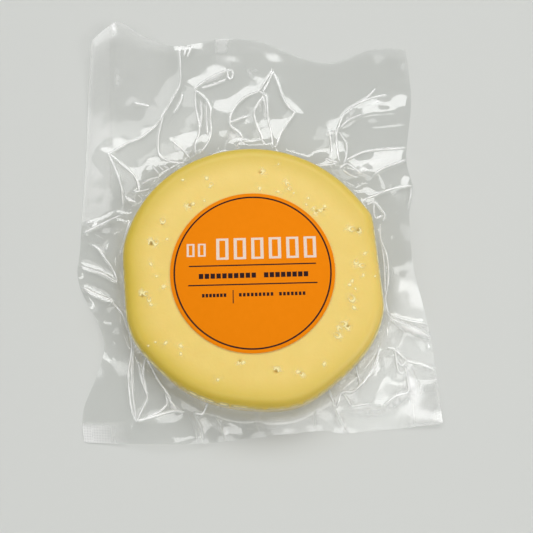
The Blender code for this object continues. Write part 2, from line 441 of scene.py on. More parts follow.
# The pouch's edge: points that each wavy side runs through, anticlockwise.
pouchSides = [
    [(-73, -69), (-50, -70.5), (-25, -71), (0, -69), (28, -66.8), (39, -68.2), (79, -65.3)],
    [(79, -65.3), (77.5, -38), (75.5, -20), (71, 5), (71, 28), (73.5, 41), (71.5, 56),
     (75.5, 84), (74, 109)],
    [(74, 109), (58, 110), (37, 104), (20, 110), (5, 117), (-13, 118.5), (-34, 114.5),
     (-48, 118.5), (-59.5, 125.5), (-65, 124), (-73.5, 116.5)],
    [(-73.5, 116.5), (-75, 90), (-75.5, 60), (-77, 18), (-77, 0), (-65, -28), (-73.5, -55),
     (-73, -69)],
]
# Where the edge stands off the table: x, y, height and reach.
pouchLifts = [
    (-66, 126, 6.0, 30), (-65, -28, 3.0, 14), (-38, -71, 3.0, 18), (72, 12, 2.0, 16),
    (36, 104, 0.8, 16), (74, 109, 3.0, 18), (79, -65, 1.5, 14),
]

# Creases of the front film, each how sharp it is (which also sets how bright its painted highlight line
# is) and the points of its crest: x, y, height.
creases = {
    "topLeft": [
        (0.60, [(-32.5, 115, 0.8), (-32, 97, 1.0), (-35, 89, 1.2), (-40, 80, 1.6), (-43, 75, 1.8)]),
        (1.00, [(-43, 75, 1.8), (-50, 69, 1.6), (-57, 66, 1.5), (-65, 61, 2.2)]),
        (0.70, [(-30, 110, 0.7), (-29, 115, 0.9)]),
        (0.70, [(-28.5, 109, 0.7), (-26.5, 115, 0.9)]),
        (0.81, [(-65, 61, 2.6), (-60, 49, 2.2), (-58.4, 41, 1.8), (-58, 36, 2.2)]),
        (0.70, [(-64.5, 60, 2.2), (-61, 51, 1.8), (-57.5, 41, 1.8)]),
        (0.88, [(-64, 60.5, 2.4), (-58, 55, 2.0), (-53, 50, 2.2), (-51, 45, 3.0), (-51, 42, 3.6)]),
        (0.81, [(-40, 79, 2.0), (-42, 70, 1.5), (-42, 61, 1.6), (-39, 57.5, 2.2),
               (-33, 55.5, 4.2), (-30, 55, 6.5)]),
        (0.77, [(-31, 90, 0.8), (-32, 86, 1.3), (-35, 81, 1.0)]),
        (0.81, [(-36, 67, 1.0), (-33, 64, 1.8), (-30, 61, 2.8), (-28, 57.5, 6.0)]),
        (0.77, [(-57, 40, 2.2), (-55, 38, 3.0), (-52, 37, 4.2)]),
        (0.67, [(-53, 86, 0.7), (-47, 84.5, 0.8)]),
    ],
    "topMiddle": [
        (0.88, [(-25, 93, 1.8), (-25, 85, 2.0), (-24, 78, 2.0), (-23.2, 71, 2.6), (-25, 65, 3.8),
               (-25, 59, 8.5)]),
        (0.81, [(-24.5, 91.5, 1.8), (-20, 87, 2.0), (-18, 82, 2.2), (-18.2, 77, 2.2),
               (-17.8, 71, 2.6), (-18.8, 66, 3.8), (-22, 60, 8.5)]),
        (0.64, [(-22.5, 86, 1.4), (-22.2, 79, 1.8), (-23, 72, 2.4)]),
        (0.64, [(-20, 85, 1.5), (-19.8, 77, 1.7), (-19.6, 69, 2.4)]),
        (0.95, [(-25, 93, 1.8), (-20, 97, 1.4), (-14, 100.5, 0.9), (-9.5, 102, 0.6)]),
        (0.70, [(-22, 93, 1.2), (-17, 94.5, 0.9), (-11, 97, 0.6)]),
        (0.81, [(11, 101, 0.6), (8, 96, 1.0), (5, 91, 1.6)]),
        (0.64, [(11.5, 100.5, 0.6), (9.3, 95, 0.9), (6.8, 90.5, 1.4)]),
        (0.84, [(11.5, 100.5, 0.7), (14, 94, 1.0), (16, 87, 1.3), (18.5, 82, 1.5), (21, 79.5, 1.8),
               (18.5, 75.5, 1.8), (15, 70, 2.2), (13, 65, 3.4), (11.5, 61, 7.0)]),
        (0.84, [(5, 90.5, 1.6), (0, 89, 1.5), (-5, 85, 1.6), (-8, 80, 1.8), (-9, 76, 2.4),
               (-8.5, 73, 2.0), (-5, 70, 2.2), (-3.5, 67, 2.8)]),
        (0.77, [(5.5, 90, 1.6), (8, 88, 1.6), (8.5, 82, 2.0), (8.7, 76, 2.2), (9.8, 70, 3.2),
               (10.5, 62, 8.0)]),
        (0.74, [(6.5, 87.5, 2.0), (3.5, 83, 1.8), (2.2, 79, 2.0), (3.5, 73, 2.2), (5.3, 68, 3.2),
               (5.8, 65, 4.2), (7.5, 62.5, 7.5)]),
        (0.60, [(6.5, 87.5, 1.8), (7.5, 82, 1.4), (7.0, 77, 1.2)]),
        (0.70, [(-4, 66.5, 2.6), (-1, 65.8, 2.2), (2, 65.5, 2.4), (5, 66.5, 3.0)]),
        (0.67, [(-6.5, 62.5, 4.6), (-4, 65, 3.6), (-2, 63.5, 4.4)]),
        (0.70, [(-9, 75, 2.0), (-6, 76.5, 1.4), (-1, 78, 1.0)]),
    ],
    "marks": [
        (0.90, [(-9.6, 100.6, 0.5), (-9.7, 98.4, 0.5), (-8.9, 97.4, 0.5), (-7.6, 98.2, 0.5),
                (-7.2, 99.9, 0.5), (-7.9, 101.6, 0.5), (-9.2, 102.0, 0.5), (-9.6, 100.6, 0.5)]),
    ],
    "topRight": [
        (0.95, [(40.3, 53, 8.0), (39.8, 62, 3.4), (40, 68, 2.6), (41.5, 73, 1.6), (44, 78.5, 0.8),
               (50, 83, 0.6), (58, 86, 0.5), (64, 87, 0.4)]),
        (1.00, [(50, 83, 0.6), (55, 86, 0.5), (59, 90, 0.4)]),
        (0.74, [(41.5, 70.5, 4.4), (46, 74.5, 5.0), (52, 77, 4.6)]),
        (0.70, [(36.5, 70, 1.4), (37.2, 65, 1.8), (37.2, 58, 3.0)]),
        (0.70, [(41, 69, 1.8), (44.3, 63, 1.8), (44, 57, 2.6), (42.5, 53, 5.0)]),
        (0.67, [(30, 51.8, 8.5), (35, 52, 6.5), (39.5, 53, 5.0)]),
        (0.67, [(34.5, 55.5, 5.0), (39.5, 53.2, 5.0)]),
        (0.70, [(40.5, 50, 7.0), (44, 53, 3.8), (47, 51, 2.6), (50.5, 48, 2.0)]),
        (0.70, [(42, 49.5, 6.0), (45.5, 47.2, 3.4), (49, 46.5, 2.2)]),
        (1.00, [(44, 55, 1.6), (52, 59, 0.4), (60, 60, 0.3), (71, 60.5, 0.2)]),
        (1.00, [(56.5, 47.5, 4.6), (60, 50, 4.6), (65, 52, 4.2), (71, 54.5, 3.6)]),
        (0.95, [(51, 35.5, 5.0), (56, 37.5, 2.6), (60, 39.2, 2.2), (66, 41, 2.0), (73, 42, 2.2)]),
        (0.81, [(72.6, 41, 1.8), (72, 36, 1.8), (70.8, 31, 1.6)]),
    ],
    "right": [
        (0.64, [(52, 32.5, 6.0), (55.5, 34, 3.6), (58, 31.5, 3.0), (60, 28, 2.6), (59, 25.5, 2.2)]),
        (0.64, [(55.3, 33.5, 3.5), (55, 29, 3.2), (55.8, 26.5, 3.6), (59, 28, 2.2)]),
        (0.77, [(57.6, 24, 3.0), (57.4, 17, 2.8), (59.5, 10, 2.6), (60, 2, 2.4), (59.2, -5, 2.4),
               (58, -10, 2.6), (58.5, -16, 2.6), (60, -20, 2.8)]),
        (0.64, [(57.8, 13, 2.6), (58.3, 4, 2.6), (57.9, -8, 2.8)]),
        (1.00, [(59.5, -19.5, 3.0), (66, -22.5, 2.6), (72, -25.5, 2.4), (76, -28, 2.2)]),
        (1.00, [(60, -18, 2.6), (68, -20.5, 2.2), (75.5, -22, 1.8)]),
    ],
    "lowRight": [
        (0.84, [(54, -31, 6.0), (53.5, -33.5, 5.0), (51.5, -39, 4.4), (48, -44.5, 4.2),
               (44.5, -48.5, 4.0), (41, -51, 4.0), (37, -51, 4.0), (35.5, -54, 2.4),
               (34.5, -57, 1.8)]),
        (0.70, [(37, -51, 3.0), (38.8, -53.5, 2.2), (40.5, -56.5, 2.0)]),
        (0.74, [(41, -57, 1.6), (48, -56, 1.8)]),
        (0.67, [(57.5, -32.5, 2.2), (60.5, -33, 2.8), (61, -38, 2.4), (61.5, -42, 2.4),
               (63, -43.5, 2.2), (65, -42, 2.4)]),
        (0.67, [(60.5, -33, 2.6), (65, -37.5, 2.2), (63, -40, 1.8), (61.5, -37.5, 1.8)]),
        (0.81, [(64.5, -40, 0.8), (65.5, -47, 0.7), (65.2, -51.5, 0.8), (60, -53, 0.8),
               (55, -56.5, 0.8)]),
        (0.30, [(34, -58, 2.0), (36, -63, 1.8), (38.5, -68, 1.6)]),
        (0.67, [(31, -50.5, 6.0), (33, -54.5, 2.6), (34, -57, 1.8)]),
        (0.67, [(43, -41, 5.0), (44.5, -45, 3.0), (44.5, -48, 2.8)]),
        (1.00, [(65, -38, 1.6), (72, -40, 1.8), (77, -42, 1.4)]),
    ],
    "bottom": [
        (0.20, [(25.5, -58, 2.2), (25, -62, 1.6), (25, -66, 1.4)]),
        (0.30, [(-17, -59.5, 2.4), (-15, -64, 1.8), (-13.5, -69, 1.4)]),
        (0.40, [(-26, -59, 2.6), (-23.5, -64, 2.0), (-22.5, -70, 1.4)]),
        (0.25, [(-28.5, -59, 2.2), (-26, -64, 1.6), (-25, -70, 1.2)]),
        (0.74, [(-26, -58, 2.8), (-23, -58.5, 2.6), (-21, -56, 3.8), (-19.5, -54, 6.5)]),
        (0.15, [(0.5, -58, 3.0), (1, -62, 1.8), (2, -67, 1.2)]),
    ],
    "lowLeft": [
        (0.81, [(-62, -9, 2.4), (-58, -13.5, 3.0), (-55, -20, 3.0), (-53, -26, 3.0),
               (-53.5, -33, 2.6), (-54.5, -41, 2.4), (-53.7, -50, 2.2), (-52.7, -56, 2.4),
               (-50.5, -61, 2.6)]),
        (0.64, [(-52.2, -29, 2.6), (-53, -38, 2.0), (-52.6, -48, 1.8), (-51.6, -55, 1.9),
               (-50.5, -61, 2.6)]),
        (0.74, [(-50, -36, 3.4), (-49, -42, 2.4), (-47.5, -47, 2.2), (-46.2, -51, 2.2),
               (-47.8, -55, 2.0), (-50.5, -61, 2.6)]),
        (0.70, [(-46.5, -35, 7.0), (-48, -38, 4.2), (-47.6, -44, 2.4), (-46.2, -50, 2.0)]),
        (0.84, [(-46, -35, 7.0), (-44, -39, 5.2), (-41.5, -44, 4.2), (-38, -49, 3.6),
               (-36, -53, 3.2), (-33, -57, 2.8)]),
        (0.81, [(-50.5, -61, 2.6), (-44, -59.5, 2.2), (-39, -58, 2.2), (-34, -57, 2.8),
               (-31, -57.5, 2.0)]),
        (0.64, [(-38.5, -50, 2.8), (-37.8, -54, 2.2), (-41, -57.3, 2.0), (-46, -59.6, 1.6)]),
    ],
    "left": [
        (1.00, [(-59, 31, 3.2), (-66, 28, 2.4), (-72, 25, 2.4), (-75, 23.5, 2.2)]),
        (0.81, [(-60, 1, 3.2), (-62, 6, 2.6), (-66, 12, 2.2), (-69, 16, 2.0), (-72, 18, 1.6)]),
        (0.88, [(-60, 0, 3.2), (-66, 4, 2.4), (-71, 6, 2.2), (-76, 8, 2.0)]),
        (1.00, [(-62, -8, 2.6), (-69, -5, 2.4), (-75.5, -1.5, 2.4)]),
        (0.67, [(-54.5, 28, 7.5), (-56, 22, 7.0), (-57.5, 15, 7.0), (-58.7, 12, 6.0)]),
        (0.70, [(-53, 42, 3.0), (-48, 42.3, 6.0), (-45.5, 42.5, 8.5)]),
        (0.70, [(-49.5, 45.5, 3.0), (-45.5, 47.5, 6.0), (-41.5, 48, 8.5)]),
        (0.64, [(-44.5, 54, 2.6), (-42, 50.5, 6.0)]),
        (0.64, [(-42, 54.5, 2.6), (-39.5, 51.5, 6.5)]),
        (0.64, [(-39.5, 54, 3.2), (-37, 52, 7.0)]),
    ],
}

# Broad flanks of the film between a crest and its foot: points as x, y and height.
bandLines = [
    [(42, 71, 2.4), (48, 75, 2.6), (55, 76.5, 2.4), (63, 78, 2.0), (75, 80, 1.4)],
    [(64, 88, 0.1), (75, 89, 0)],
    [(42, 50, 3.5), (48, 49.5, 2.6), (56.5, 47.8, 2.4)],
    [(60, -20, 2.8), (66, -23.5, 2.4), (76, -28.5, 2.0)],
    [(61, -15, 0.5), (68, -17, 0.2), (76, -19, 0)],
    [(-60, 30.5, 3.0), (-68, 27, 2.4), (-76, 23, 2.0)],
    [(-62, 34, 0.6), (-69, 31, 0.2), (-76, 27, 0)],
    [(-60, -0.5, 3.0), (-68, 4, 2.4), (-77, 6, 2.0)],
    [(-61, 4, 0.8), (-68, 8.5, 0.2), (-77, 10.5, 0)],
    [(-62, -9.5, 2.8), (-69, -7, 2.4), (-76, -4.5, 2.2)],
    [(-63, -4.5, 0.8), (-69, -1.5, 0.3), (-76, 1, 0)],
]
# Small painted highlight spots, standing in for glare on the film: x, y, half length, half width, turn
# in degrees and strength.
glintSpots = [
    (-8, 68.5, 2.6, 1.5, -20, 0.6), (37.3, 68.7, 1.8, 1.0, 20, 0.7), (-33, 63, 2.6, 0.7, -40, 0.5),
    (-28.5, 60.5, 2.2, 0.9, 50, 0.5), (-63, 123.5, 3.4, 0.7, 95, 0.9), (-74, 119, 1.0, 0.7, 0, 0.4),
    (-61.5, 98, 4.0, 0.9, 90, 0.25), (72.7, 100.5, 1.2, 0.5, 90, 0.8), (-3, 78, 2.0, 1.0, 15, 0.3),
    (5, 83, 2.4, 0.8, 80, 0.4), (-46, 47.3, 2.6, 0.6, 10, 0.6), (-38, 53, 1.8, 0.6, -50, 0.5),
    (-68, 15.5, 2.4, 1.0, -45, 0.5), (62.5, -51.5, 2.6, 1.2, 25, 0.5), (-24, -58.5, 1.6, 0.8, 0, 0.5),
    (-35, -55.5, 2.2, 0.8, -50, 0.6), (-55, 38.5, 1.8, 1.0, -50, 0.5), (46.5, 77.5, 3.4, 1.2, 60, 0.6),
    (0.6, 99.8, 2.4, 0.6, -70, 0.6), (3.4, 101.2, 1.2, 0.4, 80, 0.5), (-16, 98.4, 6.0, 0.9, 30, 0.55),
    (60, 84, 5.0, 1.6, 25, 0.30), (69, -24.6, 8.0, 1.5, -24, 0.85), (66.8, -47.5, 7.0, 1.7, 98, 0.85),
    (60.5, -55, 6.0, 1.3, 32, 0.8), (50, -59.5, 7.0, 1.6, 6, 0.35), (50.5, 49.8, 4.0, 2.2, 20, 0.45),
    (56, 53.0, 6.0, 2.4, 25, 0.25), (-24, -64, 6.5, 1.8, -72, 0.3), (-14.5, -64.5, 5.0, 1.0, -70, 0.25),
    (1, -63, 5.0, 1.4, -75, 0.18), (36, -63, 5.0, 1.2, -66, 0.3), (72, -58, 9.0, 5.0, 60, 0.22),
    (-70, 27.5, 7.0, 1.3, -27, 0.3), (-70, 6, 7.0, 1.0, -20, 0.25), (-70, -4.6, 7.0, 1.2, -22, 0.35),
    (-4.5, 66.5, 3.5, 1.8, -10, 0.3), (-28, 62, 3.0, 2.0, 60, 0.3),
]
# Frosted parts of the film, made whiter than frost alone as painted glare: low and high corners,
# strength, soft edges across and along, and whether it is embossed.
frostAndGlareParts = [
    ((-90, 30), (-64.5, 140), 0.22, (1.5, 16), False),
    ((-66, 80), (-40, 140), 0.15, (10, 12), False),
    ((-33, 110.3), (62, 140), 0.04, (4, 0.5), False),
    ((-90, -90), (-62, -61.5), 0.75, (16, 2.4), True),
    ((64, -70), (90, -44), 0.22, (8, 10), True),
    ((-15.5, 104), (-8, 110), 0.16, (0.8, 0.8), True),
    ((-15.3, 111.5), (-9.7, 119.5), 0.35, (0.8, 0.8), False),
]


def pouchLoop(step):
    sides = [smoothLine(side, step)[:-1] for side in pouchSides]
    return np.concatenate(sides)


def insetLoop(loop, inset):
    run = np.roll(loop, -1, axis=0) - np.roll(loop, 1, axis=0)
    run /= np.linalg.norm(run, axis=1)[:, None]
    return loop + np.column_stack([-run[:, 1], run[:, 0]]) * inset


def liftAt(x, y, out):
    rise = np.zeros_like(x)
    for liftX, liftY, height, reach in pouchLifts:
        rise += height * np.exp(-((x - liftX) ** 2 + (y - liftY) ** 2) / reach ** 2)
    start = np.clip((out - film["liftFrom"]) / film["liftOver"], 0, 1)
    return rise * start * start * (3 - 2 * start)


def crestLines(step):
    # every crease as its strength and the points along its crest
    return [(strength, smoothLine(crest, step))
            for group in creases.values() for strength, crest in group]


def creaseRows():
    # rows of points along each crest, close together near it
    rows = []
    for strength, line in crestLines(0.6):
        line = line[:, :2]
        run = np.gradient(line, axis=0)
        run /= np.maximum(np.linalg.norm(run, axis=1), 1e-6)[:, None]
        across = np.column_stack([-run[:, 1], run[:, 0]])
        for offset in (0, 0.16, -0.16, 0.32, -0.32, 0.55, -0.55, 0.9, -0.9):
            rows.append(line + across * offset)
    return thinned(np.concatenate(rows), 0.13)


def nearest(x, y, lines):
    # distance from each point to the closest of the lines
    best = np.full(len(x), 1e9)
    for line in lines:
        for spot in line:
            best = np.minimum(best, np.hypot(x - spot[0], y - spot[1]))
    return best


def facetNet(loop):
    # the film is stretched flat between the crests, the ground and the pouch's edge
    spots = []
    edges = []
    lines = [line * (1, 1, film["foldTall"]) for strength, line in crestLines(2.0)]
    lines += [smoothLine(line, 2.0) for line in bandLines]
    for line in lines:
        edges += [(len(spots) + i, len(spots) + i + 1) for i in range(len(line) - 1)]
        spots += list(line)
    ground = gridPoints((-80, -75), (82, 130), film["groundStep"])
    ground = ground[beyondRim(ground[:, 0], ground[:, 1]) > 2]
    turns = np.linspace(0, 2 * math.pi, 72, endpoint=False)
    foot = (rimAt(turns) + 5)[:, None] * np.column_stack([np.cos(turns), np.sin(turns)])
    ground = np.concatenate([ground[inside(ground, loop)], foot])
    ground = ground[nearest(ground[:, 0], ground[:, 1], lines) > film["groundClear"]]
    hem = insetLoop(loop, -2.0)
    ground = np.concatenate([ground, hem, [(-90, -85), (92, -85), (92, 140), (-90, 140)]])
    spots += [(a, b, 0.0) for a, b in ground]
    flat = [Vector(spot[:2]) for spot in spots]
    places, _, triangles, origins, *_ = delaunay_2d_cdt(flat, edges, [], 0, 1e-3, True)
    heights = []
    known = np.array(spots)
    for place, origin in zip(places, origins):
        if not origin:
            away = np.hypot(known[:, 0] - place.x, known[:, 1] - place.y)
            origin = [int(np.argmin(away))]
        heights.append(max(known[i, 2] for i in origin))
    return np.array([tuple(place) for place in places]), np.array(heights), triangles


def facetHeight(x, y, net):
    places, heights, triangles = net
    total = np.zeros_like(x)
    for triangle in triangles:
        corners = places[list(triangle)]
        levels = heights[list(triangle)]
        if levels.max() <= 0:
            continue
        low, high = corners.min(0), corners.max(0)
        near = np.flatnonzero((x >= low[0]) & (x <= high[0]) & (y >= low[1]) & (y <= high[1]))
        sides = np.column_stack([corners[1] - corners[0], corners[2] - corners[0]])
        area = sides[0, 0] * sides[1, 1] - sides[0, 1] * sides[1, 0]
        if len(near) == 0 or abs(area) < 1e-9:
            continue
        dx, dy = x[near] - corners[0, 0], y[near] - corners[0, 1]
        b = (dx * sides[1, 1] - dy * sides[0, 1]) / area
        c = (dy * sides[0, 0] - dx * sides[1, 0]) / area
        within = (b >= -1e-6) & (c >= -1e-6) & (b + c <= 1 + 1e-6)
        value = levels[0] + b * (levels[1] - levels[0]) + c * (levels[2] - levels[0])
        total[near[within]] = value[within]
    return total


def roundedFacets(x, y, net):
    # the film bends gently from one facet to the next
    total = facetHeight(x, y, net)
    for k in range(6):
        turn = k * math.pi / 3
        aheadX = x + film["bend"] * math.cos(turn)
        aheadY = y + film["bend"] * math.sin(turn)
        total += facetHeight(aheadX, aheadY, net)
    return total / 7


def crestWeltAndGlint(x, y):
    # how much of a crest each point is on, as its welt and as its painted highlight line, white haze
    # standing in for the crest's shine
    welt = np.zeros_like(x)
    paintedGlint = np.zeros_like(x)
    for index, (strength, crest) in enumerate(crestLines(1.2)):
        low, high = crest.min(0) - 2, crest.max(0) + 2
        near = np.flatnonzero((x > low[0]) & (x < high[0]) & (y > low[1]) & (y < high[1]))
        best = np.full(len(near), 1e9)
        fade = np.zeros(len(near))
        total = len(crest) - 1
        for i, (a, b) in enumerate(zip(crest, crest[1:])):
            dx, dy = b[0] - a[0], b[1] - a[1]
            along = ((x[near] - a[0]) * dx + (y[near] - a[1]) * dy) / (dx * dx + dy * dy)
            along = np.clip(along, 0, 1)
            away = np.hypot(x[near] - a[0] - along * dx, y[near] - a[1] - along * dy)
            closer = away < best
            best = np.where(closer, away, best)
            fade = np.where(closer, (i + along) / total, fade)
        # each line tapers at its ends
        taper = np.clip(6 * np.minimum(fade, 1 - fade) + 0.35, 0, 1)
        patchy = 0.85 + 0.45 * steadyNoise(x[near], y[near], 4.0, 20.0 + index)
        here = np.minimum(1.3 * strength, 1) * taper
        welt[near] = np.maximum(welt[near], here * np.exp(-((best / film["weltWide"]) ** 2)))
        glintStrength = here * patchy * np.exp(-((best / film["glintWide"]) ** 2))
        paintedGlint[near] = np.maximum(paintedGlint[near], glintStrength)
    return welt, np.clip(paintedGlint, 0, 1)


def eyeGlints(x, y):
    # painted glints: small white marks standing in for the film's highlights over the cheese's eyes and
    # blisters, each lying its own way
    paintedGlint = np.zeros_like(x)
    x, y = ragged(x, y)
    for eyeX, eyeY, radius, kind in eyes:
        turn = 7.0 * eyeX + 3.0 * eyeY
        along = (x - eyeX) * math.cos(turn) + (y - eyeY) * math.sin(turn)
        aside = (y - eyeY) * math.cos(turn) - (x - eyeX) * math.sin(turn)
        reach = np.hypot(along / 1.4, aside) / radius
        if kind == "ring":
            side = 0.6 + 0.4 * along / np.maximum(np.hypot(along, aside), 0.01)
            glint = side * np.exp(-(((reach - 0.9) / 0.38) ** 2))
        elif kind == "bead":
            glint = np.exp(-((reach / 0.8) ** 2))
        else:
            glint = 0.9 * np.exp(-(((reach - 1.1) / 0.4) ** 2)) * (along > 0)
        paintedGlint = np.maximum(paintedGlint, glint)
    return paintedGlint


def rimGlints(x, y, out):
    # painted highlight where the film turns over the cheese's edge
    directions, strengths = zip(*film["rimGlint"])
    here = np.interp(np.degrees(np.arctan2(y, x)) % 360, directions, strengths)
    patchy = np.clip(0.7 + 1.1 * steadyNoise(x, y, 3.0, 60.0), 0, 1)
    return here * patchy * np.exp(-(((out + 0.35) / 0.45) ** 2))


def backHeight(x, y, out):
    return film["back"] + liftAt(x, y, out)


def frontHeight(x, y, out, rim, net):
    # rim is the distance from the pouch's edge, where the two films lie close together
    under = backHeight(x, y, out) + film["gap"]
    over = faceHeight(x, y, out, film["clear"]) + eyeRelief(x, y, film["overEyes"])
    shoulder = cheese["top"] - cheese["crown"] - cheese["topRound"]
    directions, widths = zip(*film["tent"])
    width = np.interp(np.degrees(np.arctan2(y, x)) % 360, directions, widths)
    share = np.clip((out - film["clear"]) / width, 0, 1)
    tent = (shoulder - under) * (1 - share) ** film["flare"]
    start = np.clip(out / 3, 0, 1)
    ripple = film["ripple"] * steadyNoise(x, y, 6.0, 1.0)
    swell = film["swell"] * (0.6 + steadyNoise(x, y, 19.0, 5.0))
    pucker = film["pucker"] * steadyNoise(30 * np.arctan2(y, x), out / 3, 1.6, 7.0)
    pucker *= np.exp(-((out / 9) ** 2))
    welt, paintedGlint = crestWeltAndGlint(x, y)
    folds = roundedFacets(x, y, net) + film["weltTall"] * welt
    relief = start * np.maximum(ripple + swell + pucker, -0.8 * film["gap"])
    relief *= np.clip(rim / film["calm"], 0, 1)
    folds = np.maximum(folds, 0) * np.clip(rim / film["hem"], 0, 1)
    outer = under + (tent ** 5 + folds ** 5) ** 0.2 + relief
    # painted highlight spots
    for blobX, blobY, length, width, turn, strength in glintSpots:
        turn = math.radians(turn)
        along = (x - blobX) * math.cos(turn) + (y - blobY) * math.sin(turn)
        aside = (y - blobY) * math.cos(turn) - (x - blobX) * math.sin(turn)
        spot = np.exp(-((along / length) ** 2) - (aside / width) ** 2)
        paintedGlint = np.maximum(paintedGlint, strength * spot)
    # over the cheese the painted glints are the eyes' ones, and a painted highlight line follows the
    # rim
    paintedGlint = np.where(out < film["clear"], eyeGlints(x, y), paintedGlint)
    paintedGlint = np.maximum(paintedGlint, rimGlints(x, y, out))
    return np.where(out < film["clear"], over, outer), paintedGlint


def frostAndGlareAt(x, y, embossed):
    total = np.zeros_like(x)
    for low, high, strength, soft, hasPattern in frostAndGlareParts:
        if hasPattern == embossed:
            across = np.minimum(x - low[0], high[0] - x) / soft[0]
            along = np.minimum(y - low[1], high[1] - y) / soft[1]
            here = np.clip(across + 0.5, 0, 1) * np.clip(along + 0.5, 0, 1)
            total = np.maximum(total, strength * here)
    return total


def makeFilm():
    loop = pouchLoop(film["edgeStep"])
    turns = np.linspace(0, 2 * math.pi, 380, endpoint=False)
    ways = np.column_stack([np.cos(turns), np.sin(turns)])
    rims = rimAt(turns)
    rings = [ways * (rims + out)[:, None] for out in (
        -6.2, -5.2, -4.2, -3.3, -2.5, -1.8, -1.2, -0.7, -0.35, -0.1, 0.08, 0.15, 0.24, 0.4,
        0.6, 0.85, 1.2, 1.6, 2.1, 2.7, 3.4, 4.2, 5.2, 6.4)]
    rings = np.concatenate(rings)
    rows = creaseRows()
    rows = rows[beyondRim(rows[:, 0], rows[:, 1]) > 0.6]
    fine = thinned(np.concatenate([rows, rings, eyePoints()]), 0.13)
    grid = gridPoints((-80, -75), (82, 130), film["grid"])
    grid = thinned(grid, 0.7, fine)
    points = np.concatenate([fine, grid])
    border = insetLoop(loop, film["edgeInset"])
    points = points[inside(points, insetLoop(loop, 1.5 * film["edgeInset"]))]
    places, triangles = netInside(loop, np.concatenate([border, points]))
    x, y = places[:, 0], places[:, 1]
    out = beyondRim(x, y)
    rim = nearest(x, y, [loop])
    z, paintedGlints = frontHeight(x, y, out, rim, facetNet(pouchLoop(6.0)))
    wets = np.clip((0.1 - out) / 0.3, 0, 1)
    frostAndGlares = frostAndGlareAt(x, y, False)
    embossAndGlares = frostAndGlareAt(x, y, True)
    count = len(loop)
    z[:count] = backHeight(x[:count], y[:count], out[:count]) + film["edgeGap"]
    body = bmesh.new()
    verts = [body.verts.new((a * mm, b * mm, c * mm)) for a, b, c in zip(x, y, z)]
    for triangle in triangles:
        if max(triangle) >= count:
            body.faces.new([verts[i] for i in triangle])
    border = insetLoop(loop, film["backInset"])
    border = thinned(border[inside(border, insetLoop(loop, 0.9 * film["backInset"]))], 0.5)
    backGrid = thinned(gridPoints((-80, -75), (82, 130), film["backGrid"]), 1.5, border)
    backGrid = backGrid[inside(backGrid, insetLoop(loop, 1.2 * film["backInset"]))]
    places, triangles = netInside(loop, np.concatenate([border, backGrid]))
    x, y = places[:, 0], places[:, 1]
    z = backHeight(x, y, beyondRim(x, y))
    backVerts = verts[:count]
    backVerts += [body.verts.new((a * mm, b * mm, c * mm))
                  for a, b, c in zip(x[count:], y[count:], z[count:])]
    for triangle in triangles:
        if max(triangle) >= count:
            body.faces.new([backVerts[i] for i in reversed(triangle)])
    bmesh.ops.recalc_face_normals(body, faces=body.faces)
    mesh = bpy.data.meshes.new("pouchFilm")
    body.to_mesh(mesh)
    body.free()
    # painted highlights, and frost whitened as painted glare, are stored on the film's points
    for name, values in (("paintedGlint", paintedGlints), ("wet", wets), ("frostAndGlare", frostAndGlares), ("embossAndGlare", embossAndGlares)):
        # the back film's own points come last and have none of these
        spread = np.zeros(len(mesh.vertices))
        spread[:len(values)] = values
        mesh.attributes.new(name, "FLOAT", "POINT").data.foreach_set("value", spread)
    return finishPiece("pouchFilm", mesh, 80)


pouchFilm = makeFilm()
print("film:", len(pouchFilm.data.polygons), "faces")

label = {
    "low": labelLow.z / mm - 0.15,
    "high": labelHigh.z / mm - 0.1,
    "ringRadius": 33.2,
    "line": 0.68,
    "ink": 0.04,
    "rules": [(2.9, 54.0), (-5.5, 54.6)],        # height on the label, length
    "divider": (-8.4, -10.75, 5.7),
    # rows of plain uprights: height on the label, how tall, the two ends, pitch and share filled
    "darkRows": [(-1.6, 2.2, -22.8, 1.4, 2.6, 0.72), (-1.6, 2.2, 4.8, 23.5, 2.6, 0.72),
                 (-10.0, 1.5, -21.5, -11.3, 1.8, 0.6), (-10.0, 1.5, -5.9, 8.5, 1.8, 0.6),
                 (-10.0, 1.5, 11.0, 22.0, 1.8, 0.6)],
    "paleBoxes": [(9.95, 5.7, -27.9, -19.8, 2, 0.9), (10.2, 9.4, -15.3, 27.3, 6, 1.35)],
}


def makeDisc(name, radius, low, high, segments):
    bpy.ops.object.select_all(action="DESELECT")
    bpy.ops.mesh.primitive_cylinder_add(
        vertices=segments, radius=radius * mm, depth=(high - low) * mm,
        location=(labelSpot[0] * mm, labelSpot[1] * mm, (low + high) / 2 * mm))
    disc = bpy.context.object
    disc.name = name
    return disc


def applyPlace(piece):
    bpy.ops.object.select_all(action="DESELECT")
    piece.select_set(True)
    bpy.context.view_layer.objects.active = piece
    bpy.ops.object.transform_apply(location=True, rotation=True, scale=True)


def makeLabel():
    disc = makeDisc("roundLabel", labelSize, label["low"], label["high"], 256)
    applyPlace(disc)
    bpy.ops.object.mode_set(mode="EDIT")
    bpy.ops.mesh.select_all(action="SELECT")
    bpy.ops.mesh.bevel(offset=0.08 * mm, segments=2, affect="EDGES")
    bpy.ops.object.mode_set(mode="OBJECT")
    bpy.ops.object.shade_smooth_by_angle(angle=math.radians(50))
    return disc


def makeBar(left, right, y, height, level):
    bpy.ops.mesh.primitive_cube_add(size=1, location=(
        (labelSpot[0] + (left + right) / 2) * mm, (labelSpot[1] + y) * mm, level * mm))
    bar = bpy.context.object
    bar.scale = ((right - left) * mm, height * mm, label["ink"] * mm)
    return bar


def joined(name, parts):
    bpy.ops.object.select_all(action="DESELECT")
    for part in parts:
        part.select_set(True)
    bpy.context.view_layer.objects.active = parts[0]
    bpy.ops.object.join()
    piece = bpy.context.object
    piece.name = name
    applyPlace(piece)
    return piece


